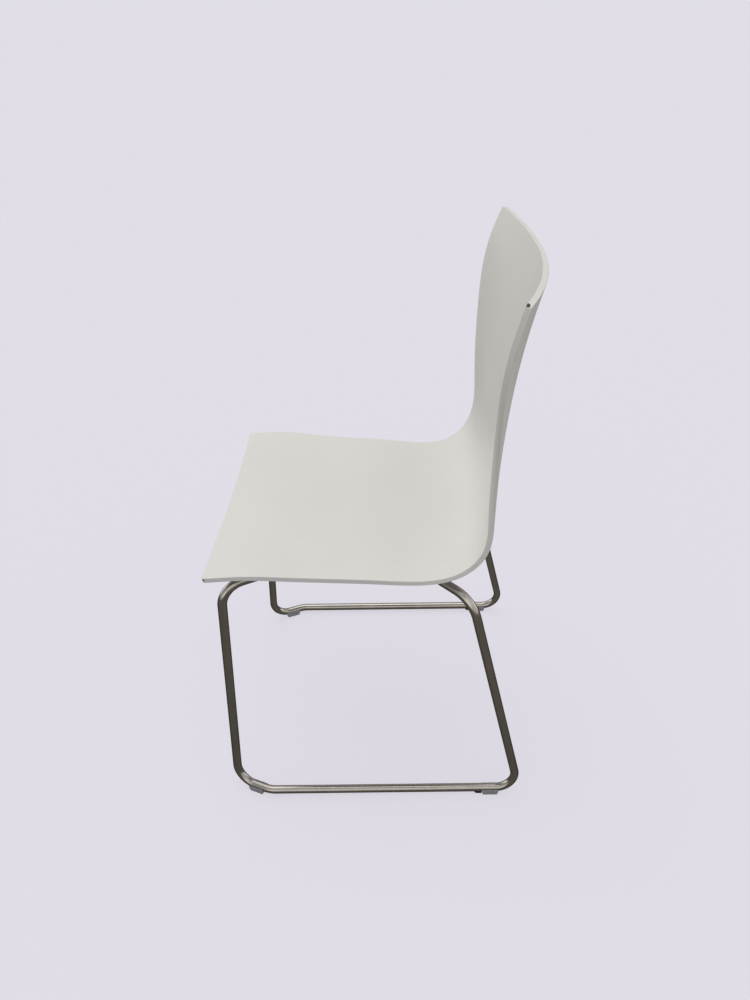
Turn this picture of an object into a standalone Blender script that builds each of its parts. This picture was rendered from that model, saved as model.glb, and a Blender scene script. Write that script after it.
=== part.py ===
"""Stacking chair: a one-piece moulded shell on a steel sled frame.

Units are metres and +Z is up. The chair faces -Y, the sitter's left is +X,
and the origin lies on the floor under the middle of the chair.
"""

import math

import bmesh
import bpy
import numpy as np
from mathutils import Euler, Matrix, Vector

# ---------------------------------------------------------------- clearances
GAP = 0.0003                 # between pieces that touch

# ---------------------------------------------------------------- seat shell
SHELL_THICKNESS = 0.008
# Stations from the front edge to the top of the back:
# y and z on the centre line, half width, and lift of the side edge
SHELL_STATIONS = (
    (-0.2265, 0.4475, 0.2105, -0.0010),
    (-0.1665, 0.4475, 0.2095, 0.0010),
    (-0.1095, 0.4420, 0.2060, 0.0010),
    (0.0205, 0.4320, 0.2025, 0.0010),
    (0.1345, 0.4405, 0.2015, 0.0030),
    (0.1660, 0.4715, 0.2080, 0.0070),
    (0.1865, 0.5575, 0.2250, 0.0170),
    (0.2015, 0.6575, 0.2290, 0.0290),
    (0.2280, 0.7675, 0.2160, 0.0410),
    (0.2440, 0.8210, 0.2005, 0.0380),
)
SHELL_EDGE_POWER = 1.9       # how the lift grows from the centre line to the edge
SHELL_FRONT_BOW = 0.005      # the front corners stand forward of the middle
SHELL_TOP_BOW = 0.003        # the top corners stand below the middle
SHELL_ROWS = 56
SHELL_COLUMNS = 14
SEAT_END_STATION = 4         # the seat ends and the bend begins
SEAT_SAMPLES = 400

# ---------------------------------------------------------------- sled frame
TUBE_RADIUS = 0.007
RUNNER_HEIGHT = 0.0101       # tube centre above the floor
RUNNER_REAR = (0.2389, 0.2341)
RUNNER_TOE = (0.2391, -0.1872)
RUNNER_FRONT = (0.2139, -0.2457)
TOP_FRONT = (0.1975, -0.2105, 0.4196)
TOP_REAR = (0.2091, 0.1519, 0.3991)
TOP_RUN_X = 0.120
TOP_RUN_FRONT_Y = -0.084
TOP_RUN_REAR_Y = 0.059
BOTTOM_BEND = 0.032
TOE_BEND = 0.048
FRONT_TOP_BEND = 0.034
REAR_TOP_BEND = 0.041
TOP_RUN_BEND = 0.050
BEND_STEP = math.radians(6)
TUBE_SIDES_RESOLUTION = 4

# -------------------------------------------------------------- cross plates
PLATE_LENGTH = 0.262
PLATE_WIDTH = 0.030
PLATE_THICKNESS = 0.004
PLATE_CORNER = 0.006
PLATE_CORNER_SEGMENTS = 4
PLATE_Y = {"front": -0.060, "rear": 0.038}
PLATE_HOLE_RADIUS = 0.0034

# ------------------------------------------------------- shell fixing screws
SCREW_X = 0.088
SCREW_RADIUS = 0.0028
SCREW_TIP_CHAMFER = 0.0005
SCREW_HEAD_RADIUS = 0.0055
SCREW_HEAD_HEIGHT = 0.0033
SCREW_HEAD_RIM = 0.0010      # upright edge of the head
SCREW_SHOULDER = (0.0047, 0.0024)   # radius, and depth below the top of the head
SCREW_CROWN_RADIUS = 0.0030
SOCKET_SIDES = 6
SOCKET_RADIUS = 0.0022
SOCKET_DEPTH = 0.0018
WASHER_RADIUS = 0.0075
WASHER_HOLE_RADIUS = 0.0032
WASHER_THICKNESS = 0.0014
SPACER_RADIUS = 0.012
SPACER_HOLE_RADIUS = 0.0034
SPACER_SLOPE_SLACK = 0.0004  # room for the slope of the shell across the spacer
INSERT_RADIUS = 0.0048
INSERT_BORE_RADIUS = 0.0031
INSERT_LENGTH = 0.0052
INSERT_POCKET_DEPTH = 0.0056
CUTTER_OVERRUN = 0.0020
ROUND_SIDES = 20

# -------------------------------------------------------------------- glides
GLIDE_LENGTH = 0.0275
GLIDE_WIDTH = 0.0170
GLIDE_HEIGHT = 0.0115
GLIDE_CHAMFER = 0.0008
GLIDE_REAR_Y = 0.1860        # middle of the rear glides
GLIDE_FRONT_SHARE = 0.38     # middle of the front glides along the toe-in length
STOP_LENGTH = 0.013          # dark stop in front of each rear glide
STOP_WIDTH = 0.012
STOP_HEIGHT = 0.0080
STOP_CLEARANCE = 0.0012      # from the floor
PIN_RADIUS = 0.0020
PIN_HEAD_RADIUS = 0.0032
PIN_HEAD_HEIGHT = 0.0012
PIN_RECESS_DEPTH = 0.0018
PIN_LENGTH = 0.0100
PIN_SIDES = 12

# ---------------------------------------------------------- stacking buffers
BUFFER_LENGTH = 0.030
BUFFER_WALL = 0.0025
BUFFER_OPENING = math.radians(150)
BUFFER_FRONT_SHARE = 0.70
BUFFER_REAR_SHARE = 0.72
BUFFER_REST_WIDTH = 0.011
BUFFER_REST_DROP = 0.0030
BUFFER_ARC_STEPS = 6

# ----------------------------------------------------------------- materials
SHELL_WHITE = (0.68, 0.66, 0.63, 1.0)
SATIN_STEEL = (0.50, 0.48, 0.45, 1.0)
ZINC_STEEL = (0.62, 0.62, 0.61, 1.0)
GLIDE_GREY = (0.13, 0.13, 0.14, 1.0)
SPACER_BLACK = (0.04, 0.04, 0.04, 1.0)
BRASS_INSERT = (0.55, 0.42, 0.20, 1.0)

# ------------------------------------------------------------------- meshing
MERGE_DISTANCE = 0.00001
SMOOTH_ANGLE = math.radians(35)
BEVEL_ANGLE = math.radians(40)
BEVEL_SEGMENTS = 2

SIDES = {"left": 1.0, "right": -1.0}


# ------------------------------------------------------------ scene handling
def clear_scene():
    """Remove every object of the start-up scene."""
    for item in list(bpy.data.objects):
        bpy.data.objects.remove(item, do_unlink=True)


def new_collection(name):
    """Make a collection linked to the scene."""
    group = bpy.data.collections.new(name)
    bpy.context.scene.collection.children.link(group)
    return group


def new_material(name, colour, roughness, metallic):
    """Make a Principled material."""
    material = bpy.data.materials.new(name)
    material.use_nodes = True
    shader = material.node_tree.nodes["Principled BSDF"]
    shader.inputs["Base Color"].default_value = colour
    shader.inputs["Roughness"].default_value = roughness
    shader.inputs["Metallic"].default_value = metallic
    material.diffuse_color = colour
    return material


def add_object(name, mesh, group, material=None):
    """Put a mesh in the scene as an object of its own."""
    item = bpy.data.objects.new(name, mesh)
    group.objects.link(item)
    if material is not None:
        mesh.materials.append(material)
    return item


def mesh_from_bmesh(name, bm):
    """Turn a bmesh into a mesh and free it."""
    mesh = bpy.data.meshes.new(name)
    bm.to_mesh(mesh)
    bm.free()
    return mesh


def shade_round(mesh):
    """Smooth shading with sharp edges kept."""
    mesh.shade_smooth()
    mesh.set_sharp_from_angle(angle=SMOOTH_ANGLE)


# ------------------------------------------------------------- shared shapes
def cylinder(name, radius, height, sides=ROUND_SIDES):
    """Closed cylinder standing on z = 0."""
    bm = bmesh.new()
    bmesh.ops.create_cone(bm, cap_ends=True, segments=sides, radius1=radius,
                          radius2=radius, depth=height)
    bmesh.ops.translate(bm, verts=bm.verts, vec=(0.0, 0.0, height / 2))
    return mesh_from_bmesh(name, bm)


def turned(name, profile, group, material=None, sides=ROUND_SIDES):
    """Solid of revolution: the profile runs down the outer side from the axis."""
    bm = bmesh.new()
    corners = [bm.verts.new((radius, 0.0, height)) for radius, height in profile]
    for first, second in zip(corners, corners[1:]):
        bm.edges.new((first, second))
    item = add_object(name, mesh_from_bmesh(name, bm), group, material)
    screw = item.modifiers.new("Turn", "SCREW")
    screw.steps = sides
    screw.render_steps = sides
    screw.use_merge_vertices = True
    screw.merge_threshold = MERGE_DISTANCE
    screw.use_smooth_shade = True
    return item


def ring_profile(outer, inner, bottom, top):
    """Closed rectangular profile of a ring, down its outer side."""
    return ((inner, top), (outer, top), (outer, bottom), (inner, bottom), (inner, top))


def box(name, size, group, material, bevel=0.0):
    """Box centred on its origin, with rounded edges if asked."""
    bm = bmesh.new()
    bmesh.ops.create_cube(bm, size=1.0)
    bmesh.ops.scale(bm, vec=size, verts=bm.verts)
    item = add_object(name, mesh_from_bmesh(name, bm), group, material)
    if bevel > 0.0:
        add_bevel(item, bevel)
    return item


def add_bevel(item, width):
    """Rounded edges."""
    bevel = item.modifiers.new("Edges", "BEVEL")
    bevel.width = width
    bevel.segments = BEVEL_SEGMENTS
    bevel.limit_method = "ANGLE"
    bevel.angle_limit = BEVEL_ANGLE


def add_cut(item, cutter):
    """Take the cutter's shape out of an object."""
    cut = item.modifiers.new("Cut " + cutter.name, "BOOLEAN")
    cut.operation = "DIFFERENCE"
    cut.solver = "EXACT"
    cut.object = cutter


def as_cutter(item, cutters):
    """Move an object to the cutters and show it as wire."""
    for group in list(item.users_collection):
        group.objects.unlink(item)
    cutters.objects.link(item)
    item.hide_render = True
    item.display_type = "WIRE"
    return item


# ------------------------------------------------------------ smooth profile
def natural_spline(knots, values, at):
    """Natural cubic spline through values at the knots, read at the points asked."""
    knots = np.asarray(knots, dtype=float)
    values = np.asarray(values, dtype=float)
    count = len(knots)
    steps = np.diff(knots)
    system = np.eye(count)
    right = np.zeros(count)
    for row in range(1, count - 1):
        system[row, row - 1:row + 2] = (steps[row - 1],
                                        2 * (steps[row - 1] + steps[row]), steps[row])
        right[row] = 6 * ((values[row + 1] - values[row]) / steps[row]
                          - (values[row] - values[row - 1]) / steps[row - 1])
    bend = np.linalg.solve(system, right)
    place = np.clip(np.searchsorted(knots, at, side="right") - 1, 0, count - 2)
    width = steps[place]
    after = (knots[place + 1] - at) / width
    before = (at - knots[place]) / width
    curve = after * values[place] + before * values[place + 1]
    swell = (after ** 3 - after) * bend[place] + (before ** 3 - before) * bend[place + 1]
    return curve + swell * width ** 2 / 6


class ShellForm:
    """The upper face of the shell as a function of two shares.

    across runs from -1 to 1 over the width, along runs from 0 at the front
    edge to 1 at the top of the back.
    """

    def __init__(self, stations):
        table = np.array(stations)
        self.y, self.z, self.half, self.lift = table.T
        chords = np.hypot(np.diff(self.y), np.diff(self.z))
        self.length = chords.sum()
        self.knots = np.concatenate(([0.0], np.cumsum(chords))) / self.length

    def centre(self, along):
        """Point on the centre line as y and z."""
        return (natural_spline(self.knots, self.y, along),
                natural_spline(self.knots, self.z, along))

    def normal(self, along, step=0.0005):
        """Unit normal of the centre line, towards the sitter."""
        before_y, before_z = self.centre(along - step)
        after_y, after_z = self.centre(along + step)
        run, rise = after_y - before_y, after_z - before_z
        size = np.hypot(run, rise)
        return -rise / size, run / size

    def point(self, across, along):
        """Point on the upper face."""
        forward = SHELL_FRONT_BOW / self.length * across ** 2 * (1 - along) ** 3
        lower = SHELL_TOP_BOW / self.length * across ** 2 * along ** 3
        along = along - forward - lower
        y, z = self.centre(along)
        normal_y, normal_z = self.normal(along)
        half = natural_spline(self.knots, self.half, along)
        lift = natural_spline(self.knots, self.lift, along)
        raised = lift * abs(across) ** SHELL_EDGE_POWER
        return Vector((half * across, y + normal_y * raised, z + normal_z * raised))

    def underside(self, y):
        """Height of the seat's underside on the centre line at y."""
        shares = np.linspace(0.0, self.knots[SEAT_END_STATION], SEAT_SAMPLES)
        share = np.interp(y, self.centre(shares)[0], shares)
        return float(self.centre(share)[1] - SHELL_THICKNESS / self.normal(share)[1])


def build_shell(form, group, cutters, material):
    """The moulded shell: an open surface, made solid, with pockets for the inserts."""
    bm = bmesh.new()
    columns = np.linspace(-1.0, 1.0, SHELL_COLUMNS + 1)
    rows = [[bm.verts.new(form.point(across, along)) for across in columns]
            for along in np.linspace(0.0, 1.0, SHELL_ROWS + 1)]
    for near, far in zip(rows, rows[1:]):
        for index in range(SHELL_COLUMNS):
            bm.faces.new((near[index], near[index + 1], far[index + 1], far[index]))
    shell = add_object("seat_shell", mesh_from_bmesh("seat_shell", bm), group, material)
    solid = shell.modifiers.new("Thickness", "SOLIDIFY")
    solid.thickness = SHELL_THICKNESS
    solid.offset = -1.0
    solid.use_even_offset = True
    for number, place in enumerate(fixing_places(), start=1):
        pocket = cylinder(f"cut_pocket_{number}", INSERT_RADIUS + GAP,
                          INSERT_POCKET_DEPTH + SHELL_THICKNESS)
        cutter = as_cutter(add_object(pocket.name, pocket, cutters), cutters)
        set_on_axis(cutter, place, place["underside"] - SHELL_THICKNESS)
        add_cut(shell, cutter)
    return shell


# ------------------------------------------------------------ sled side loop
def top_plane_height(y):
    """Height of the tube's centre line in the sloping top run."""
    share = (y - TOP_FRONT[1]) / (TOP_REAR[1] - TOP_FRONT[1])
    return TOP_FRONT[2] + share * (TOP_REAR[2] - TOP_FRONT[2])


def loop_corners(side):
    """Sharp corners of one side loop, with the bend radius at each."""
    corners = (
        ((*RUNNER_REAR, RUNNER_HEIGHT), BOTTOM_BEND),
        ((*RUNNER_TOE, RUNNER_HEIGHT), TOE_BEND),
        ((*RUNNER_FRONT, RUNNER_HEIGHT), BOTTOM_BEND),
        (TOP_FRONT, FRONT_TOP_BEND),
        ((TOP_RUN_X, TOP_RUN_FRONT_Y, top_plane_height(TOP_RUN_FRONT_Y)), TOP_RUN_BEND),
        ((TOP_RUN_X, TOP_RUN_REAR_Y, top_plane_height(TOP_RUN_REAR_Y)), TOP_RUN_BEND),
        (TOP_REAR, REAR_TOP_BEND),
    )
    return [(Vector((side * x, y, z)), radius) for (x, y, z), radius in corners]


def bend_points(before, corner, after, radius):
    """Points of the arc that rounds a corner."""
    into = (before - corner).normalized()
    out = (after - corner).normalized()
    turn = math.pi - into.angle(out)
    reach = radius * math.tan(turn / 2)
    start = corner + into * reach
    inward = (into + out).normalized()
    centre = corner + inward * math.hypot(reach, radius)
    axis = into.cross(out).normalized()
    steps = max(2, math.ceil(turn / BEND_STEP))
    arm = start - centre
    points = []
    for index in range(steps + 1):
        swing = Matrix.Rotation(-turn * index / steps, 3, axis)
        points.append(centre + swing @ arm)
    return points


def loop_path(side):
    """Centre line of one side loop as a closed run of points."""
    corners = loop_corners(side)
    points = []
    for index, (corner, radius) in enumerate(corners):
        before = corners[index - 1][0]
        after = corners[(index + 1) % len(corners)][0]
        points += bend_points(before, corner, after, radius)
    return points


def curve_tube(name, points, radius, closed):
    """Curve object with a round section."""
    curve = bpy.data.curves.new(name, "CURVE")
    curve.dimensions = "3D"
    curve.bevel_depth = radius
    curve.bevel_resolution = TUBE_SIDES_RESOLUTION
    curve.use_fill_caps = not closed
    line = curve.splines.new("POLY")
    line.points.add(len(points) - 1)
    for spot, point in zip(line.points, points):
        spot.co = (*point, 1.0)
    line.use_cyclic_u = closed
    return bpy.data.objects.new(name, curve)


def curve_to_mesh(item, group, material):
    """Replace a curve object by a mesh object of the same shape."""
    group.objects.link(item)
    bpy.context.view_layer.update()
    depsgraph = bpy.context.evaluated_depsgraph_get()
    mesh = bpy.data.meshes.new_from_object(item.evaluated_get(depsgraph))
    name = item.name
    bpy.data.objects.remove(item, do_unlink=True)
    bm = bmesh.new()
    bm.from_mesh(mesh)
    bmesh.ops.remove_doubles(bm, verts=bm.verts, dist=MERGE_DISTANCE)
    bmesh.ops.recalc_face_normals(bm, faces=bm.faces)
    bm.to_mesh(mesh)
    bm.free()
    mesh.name = name
    mesh.materials.clear()
    shade_round(mesh)
    return add_object(name, mesh, group, material)


def build_side_frame(word, group, cutters, material):
    """One closed tube loop, drilled from below for its two glide pins."""
    side = SIDES[word]
    name = "side_frame_" + word
    tube = curve_to_mesh(curve_tube(name, loop_path(side), TUBE_RADIUS, True),
                         group, material)
    for place in glide_places(word):
        drill = cylinder("cut_pin_" + place["name"], PIN_RADIUS + GAP, PIN_LENGTH)
        cutter = as_cutter(add_object(drill.name, drill, cutters), cutters)
        cutter.location = (place["x"], place["y"], PIN_HEAD_HEIGHT)
        add_cut(tube, cutter)
    return tube


# -------------------------------------------------------------- cross plates
def plate_tilt():
    """Slope of the top run, which the plates follow."""
    return math.atan2(TOP_REAR[2] - TOP_FRONT[2], TOP_REAR[1] - TOP_FRONT[1])


def plate_bottom(y):
    """Height of a plate's underside, resting on the tubes."""
    return top_plane_height(y) + (TUBE_RADIUS + GAP) / math.cos(plate_tilt())


def plate_point(end, x, height):
    """Point on a plate's own axes: x across, height above its underside."""
    y = PLATE_Y[end]
    up = Vector((0.0, -math.sin(plate_tilt()), math.cos(plate_tilt())))
    return Vector((x, y, plate_bottom(y))) + up * height


def build_plate(end, group, cutters, material):
    """Flat bar with rounded corners and two screw holes."""
    plate = box("cross_plate_" + end, (PLATE_LENGTH, PLATE_WIDTH, PLATE_THICKNESS), group,
                material)
    bm = bmesh.new()
    bm.from_mesh(plate.data)
    upright = [edge for edge in bm.edges
               if abs(edge.verts[0].co.z - edge.verts[1].co.z) > PLATE_THICKNESS / 2]
    bmesh.ops.bevel(bm, geom=upright, offset=PLATE_CORNER, affect="EDGES",
                    segments=PLATE_CORNER_SEGMENTS, profile=0.5)
    bm.to_mesh(plate.data)
    bm.free()
    plate.location = plate_point(end, 0.0, PLATE_THICKNESS / 2)
    plate.rotation_euler = Euler((plate_tilt(), 0.0, 0.0))
    for word, side in SIDES.items():
        hole = cylinder(f"cut_plate_{end}_{word}", PLATE_HOLE_RADIUS, 3 * PLATE_THICKNESS)
        cutter = as_cutter(add_object(hole.name, hole, cutters), cutters)
        cutter.location = plate_point(end, side * SCREW_X, -PLATE_THICKNESS)
        cutter.rotation_euler = Euler((plate_tilt(), 0.0, 0.0))
        add_cut(plate, cutter)


# ----------------------------------------------------------- shell fastening
def fixing_places():
    """The four screw places, with heights above the plate's underside."""
    form = ShellForm(SHELL_STATIONS)
    places = []
    for end in PLATE_Y:
        for side in SIDES.values():
            y = PLATE_Y[end]
            rise = form.underside(y) - plate_bottom(y)
            level = rise * math.cos(plate_tilt())
            places.append({"end": end, "x": side * SCREW_X, "underside": level})
    return places


def set_on_axis(item, place, height):
    """Stand an object on a screw axis at a height above the plate's underside."""
    item.location = plate_point(place["end"], place["x"], height)
    item.rotation_euler = Euler((plate_tilt(), 0.0, 0.0))


def build_screw(number, place, group, cutters, material):
    """Button-head screw from below, with a hexagon socket."""
    head_top = -WASHER_THICKNESS - 2 * GAP
    head_bottom = head_top - SCREW_HEAD_HEIGHT
    tip = place["underside"] + INSERT_LENGTH
    shoulder_radius, shoulder_depth = SCREW_SHOULDER
    screw = turned(f"shell_screw_{number}", (
        (0.0, tip),
        (SCREW_RADIUS - SCREW_TIP_CHAMFER, tip),
        (SCREW_RADIUS, tip - SCREW_TIP_CHAMFER),
        (SCREW_RADIUS, head_top),
        (SCREW_HEAD_RADIUS, head_top),
        (SCREW_HEAD_RADIUS, head_top - SCREW_HEAD_RIM),
        (shoulder_radius, head_top - shoulder_depth),
        (SCREW_CROWN_RADIUS, head_bottom),
        (0.0, head_bottom)), group, material)
    socket = cylinder(f"cut_socket_{number}", SOCKET_RADIUS, SOCKET_DEPTH + CUTTER_OVERRUN,
                      SOCKET_SIDES)
    cutter = as_cutter(add_object(socket.name, socket, cutters), cutters)
    set_on_axis(cutter, place, head_bottom - CUTTER_OVERRUN)
    add_cut(screw, cutter)
    return screw


def build_fixing(number, place, group, cutters, materials):
    """Screw, washer, spacer ring and insert of one fixing."""
    underside = place["underside"]
    screw = build_screw(number, place, group, cutters, materials["zinc"])
    washer = turned(f"washer_{number}", ring_profile(
        WASHER_RADIUS, WASHER_HOLE_RADIUS, -GAP - WASHER_THICKNESS, -GAP),
        group, materials["zinc"])
    spacer = turned(f"spacer_{number}", ring_profile(
        SPACER_RADIUS, SPACER_HOLE_RADIUS, PLATE_THICKNESS + GAP,
        underside - GAP - SPACER_SLOPE_SLACK), group, materials["black"])
    insert = turned(f"insert_{number}", ring_profile(
        INSERT_RADIUS, INSERT_BORE_RADIUS, underside + GAP, underside + INSERT_LENGTH),
        group, materials["brass"])
    for item in (screw, washer, spacer, insert):
        set_on_axis(item, place, 0.0)


# -------------------------------------------------------------------- glides
def glide_places(word):
    """Front and rear glide of one side: place on the runner and heading."""
    side = SIDES[word]
    toe = Vector((side * RUNNER_TOE[0], RUNNER_TOE[1]))
    front = Vector((side * RUNNER_FRONT[0], RUNNER_FRONT[1]))
    rear = Vector((side * RUNNER_REAR[0], RUNNER_REAR[1]))
    share = (GLIDE_REAR_Y - rear.y) / (toe.y - rear.y)
    spots = {"front": (toe.lerp(front, GLIDE_FRONT_SHARE), front - toe),
             "rear": (rear.lerp(toe, share), toe - rear)}
    places = []
    for end, (spot, heading) in spots.items():
        angle = math.atan2(heading.y, heading.x) + math.pi / 2
        places.append({"name": f"{end}_{word}", "x": spot.x, "y": spot.y, "side": side,
                       "turn": angle})
    return places


def build_groove_cutter(word, cutters):
    """The side loop with clearance, which grooves the blocks under the runner."""
    path = loop_path(SIDES[word])
    tube = curve_tube("cut_groove_" + word, path, TUBE_RADIUS + GAP, True)
    return as_cutter(curve_to_mesh(tube, cutters, None), cutters)


def build_glide(place, groove, group, cutters, material, pin_material):
    """Plastic block under the runner, grooved for the tube, and its pin."""
    glide = box("glide_" + place["name"], (GLIDE_WIDTH, GLIDE_LENGTH, GLIDE_HEIGHT), group,
                material, GLIDE_CHAMFER)
    spot = Vector((place["x"], place["y"], 0.0))
    glide.location = spot + Vector((0.0, 0.0, GLIDE_HEIGHT / 2))
    glide.rotation_euler = Euler((0.0, 0.0, place["turn"]))
    add_cut(glide, groove)
    hole = PIN_RADIUS + GAP
    recess_radius = PIN_HEAD_RADIUS + GAP
    recess = turned("cut_pin_hole_" + place["name"], (
        (0.0, GLIDE_HEIGHT), (hole, GLIDE_HEIGHT), (hole, PIN_RECESS_DEPTH),
        (recess_radius, PIN_RECESS_DEPTH), (recess_radius, -PIN_RECESS_DEPTH),
        (0.0, -PIN_RECESS_DEPTH)), cutters)
    recess_cutter = as_cutter(recess, cutters)
    recess_cutter.location = spot
    add_cut(glide, recess_cutter)
    head_top = PIN_RECESS_DEPTH - GAP
    head_bottom = head_top - PIN_HEAD_HEIGHT
    pin = turned("glide_pin_" + place["name"], (
        (0.0, PIN_LENGTH), (PIN_RADIUS, PIN_LENGTH), (PIN_RADIUS, head_top),
        (PIN_HEAD_RADIUS, head_top), (PIN_HEAD_RADIUS, head_bottom), (0.0, head_bottom)),
        group, pin_material, PIN_SIDES)
    pin.location = spot


def build_rear_stop(word, place, groove, group, material):
    """Dark block clipped under the runner in front of the rear glide."""
    stop = box("glide_stop_" + word, (STOP_WIDTH, STOP_LENGTH, STOP_HEIGHT), group, material,
               GLIDE_CHAMFER)
    forward = GLIDE_LENGTH / 2 + GAP + STOP_LENGTH / 2
    spot = Vector((place["x"], place["y"], STOP_CLEARANCE + STOP_HEIGHT / 2))
    heading = Matrix.Rotation(place["turn"], 3, "Z") @ Vector((0.0, -1.0, 0.0))
    stop.location = spot + heading * forward
    stop.rotation_euler = Euler((0.0, 0.0, place["turn"]))
    add_cut(stop, groove)


# ---------------------------------------------------------- stacking buffers
def buffer_places():
    """Two buffers on each side, on the sloping lengths of the top run."""
    places = []
    for side in SIDES.values():
        corners = [corner for corner, _ in loop_corners(side)]
        places.append((corners[3], corners[4], BUFFER_FRONT_SHARE))
        places.append((corners[6], corners[5], BUFFER_REAR_SHARE))
    return places


def arc(radius, start, end, steps):
    """Points on an arc about the origin, from one angle to another."""
    return [(radius * math.cos(angle), radius * math.sin(angle))
            for angle in np.linspace(start, end, steps + 1)]


def buffer_outline():
    """Section of a buffer: a clip open at the top, with a flat rest below."""
    inner = TUBE_RADIUS + GAP
    outer = inner + BUFFER_WALL
    half_rest = BUFFER_REST_WIDTH / 2
    rest = -outer - BUFFER_REST_DROP
    lip = math.pi / 2 + BUFFER_OPENING / 2
    root = 1.5 * math.pi - math.asin(half_rest / outer)
    left = arc(outer, lip, root, BUFFER_ARC_STEPS) + [(-half_rest, rest)]
    right = [(-x, z) for x, z in reversed(left)]
    inside = arc(inner, 3 * math.pi - lip, lip, 2 * BUFFER_ARC_STEPS)
    return left + right + inside


def build_buffer(number, start, end, share, group, material):
    """Clip under the tube with a flat rest on its underside."""
    bm = bmesh.new()
    corners = [bm.verts.new((x, -BUFFER_LENGTH / 2, z)) for x, z in buffer_outline()]
    face = bm.faces.new(corners)
    pushed = bmesh.ops.extrude_face_region(bm, geom=[face])
    moved = [part for part in pushed["geom"] if isinstance(part, bmesh.types.BMVert)]
    bmesh.ops.translate(bm, verts=moved, vec=(0.0, BUFFER_LENGTH, 0.0))
    bmesh.ops.recalc_face_normals(bm, faces=bm.faces)
    name = f"stack_buffer_{number}"
    clip = add_object(name, mesh_from_bmesh(name, bm), group, material)
    along = (end - start).normalized()
    across = along.cross(Vector((0.0, 0.0, 1.0))).normalized()
    up = across.cross(along)
    turn = Matrix((across, along, up)).transposed().to_4x4()
    clip.matrix_world = Matrix.Translation(start.lerp(end, share)) @ turn


# --------------------------------------------------------------------- chair
def build_chair():
    """Every piece of the chair."""
    clear_scene()
    group = new_collection("stacking_chair")
    cutters = new_collection("cutters")
    white = new_material("shell_white", SHELL_WHITE, 0.42, 0.0)
    steel = new_material("satin_steel", SATIN_STEEL, 0.28, 1.0)
    grey = new_material("glide_grey", GLIDE_GREY, 0.55, 0.0)
    materials = {
        "zinc": new_material("zinc_steel", ZINC_STEEL, 0.35, 1.0),
        "black": new_material("spacer_black", SPACER_BLACK, 0.60, 0.0),
        "brass": new_material("brass_insert", BRASS_INSERT, 0.40, 1.0),
    }
    form = ShellForm(SHELL_STATIONS)
    build_shell(form, group, cutters, white)
    for word in SIDES:
        build_side_frame(word, group, cutters, steel)
        groove = build_groove_cutter(word, cutters)
        front, rear = glide_places(word)
        for place in (front, rear):
            build_glide(place, groove, group, cutters, grey, materials["zinc"])
        build_rear_stop(word, rear, groove, group, materials["black"])
    for end in PLATE_Y:
        build_plate(end, group, cutters, steel)
    for number, place in enumerate(fixing_places(), start=1):
        build_fixing(number, place, group, cutters, materials)
    for number, (start, end, share) in enumerate(buffer_places(), start=1):
        build_buffer(number, start, end, share, group, materials["black"])


build_chair()
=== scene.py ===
"""The looks of a stacking chair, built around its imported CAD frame.

Units are metres and +Z is up. The chair faces -Y and the sitter's left is +X.
Finer pieces stand for the faceted CAD nodes, with their sizes and places. The four
inserts stay as the CAD has them.
"""

import math

import bmesh
import bpy
import numpy as np
from mathutils import Matrix, Vector


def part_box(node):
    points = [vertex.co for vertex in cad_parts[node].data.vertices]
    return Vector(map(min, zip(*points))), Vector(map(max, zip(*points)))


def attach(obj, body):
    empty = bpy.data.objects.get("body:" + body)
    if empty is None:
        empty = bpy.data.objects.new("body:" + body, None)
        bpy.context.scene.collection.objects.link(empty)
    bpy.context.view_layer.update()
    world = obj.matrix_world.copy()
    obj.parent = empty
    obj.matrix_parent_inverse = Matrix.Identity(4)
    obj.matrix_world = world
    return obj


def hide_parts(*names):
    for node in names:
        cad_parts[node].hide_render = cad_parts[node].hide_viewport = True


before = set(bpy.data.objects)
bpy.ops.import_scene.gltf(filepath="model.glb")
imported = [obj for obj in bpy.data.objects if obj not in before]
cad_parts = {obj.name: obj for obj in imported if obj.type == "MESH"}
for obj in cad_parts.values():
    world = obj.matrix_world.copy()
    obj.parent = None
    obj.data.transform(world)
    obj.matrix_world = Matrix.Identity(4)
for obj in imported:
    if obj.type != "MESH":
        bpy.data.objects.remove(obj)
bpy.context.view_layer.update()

# ---------------- camera
CAMERA_PLACE = (1.1404, 0.1029, 1.1816)
CAMERA_AZIMUTH = math.radians(90.364)
CAMERA_ELEVATION = math.radians(38.588)
CAMERA_ROLL = math.radians(-0.937)
CAMERA_LENS = 30.379
CAMERA_SHIFT = (-0.0592, 0.0798)

# ---------------- lights
# The light is a soft dome, brighter overhead. Soft round patches on it stand for lamps
# and windows, and the negative ones for dark parts of the room. Each has a direction,
# an inner and an outer radius in degrees, and a brightness
HORIZON_BRIGHTNESS = 0.78
ZENITH_BRIGHTNESS = 1.00
SKY_COLOUR = (1.0, 0.99, 1.01, 1.0)
SKY_PATCHES = (
    ((-0.17, -0.14, 0.97), 9.0, 24.0, 1.27),
    ((0.42, -0.08, 0.91), 4.0, 14.0, -0.70),
    ((0.76, 0.05, 0.60), 6.0, 20.0, 0.45),
    ((0.97, 0.0, 0.10), 5.0, 20.0, -0.20),
    ((0.92, -0.36, 0.14), 6.0, 24.0, 0.75),
    ((-0.50, -0.30, 0.81), 10.0, 30.0, 0.42),
    ((0.0, -0.62, 0.78), 12.0, 34.0, -0.20),
    ((0.25, -0.94, 0.22), 10.0, 30.0, -0.30),
    ((-0.46, -0.88, 0.06), 8.0, 30.0, 1.35),
    ((0.40, -0.65, 0.64), 8.0, 24.0, -0.25),
    ((-0.84, -0.18, 0.51), 6.0, 24.0, -0.45),
    ((-0.50, 0.55, 0.67), 12.0, 36.0, -0.35),
    ((-0.42, 0.90, 0.08), 10.0, 34.0, 0.70),
)
BACKDROP_COLOUR = (0.745, 0.723, 0.791, 1.0)
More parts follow.
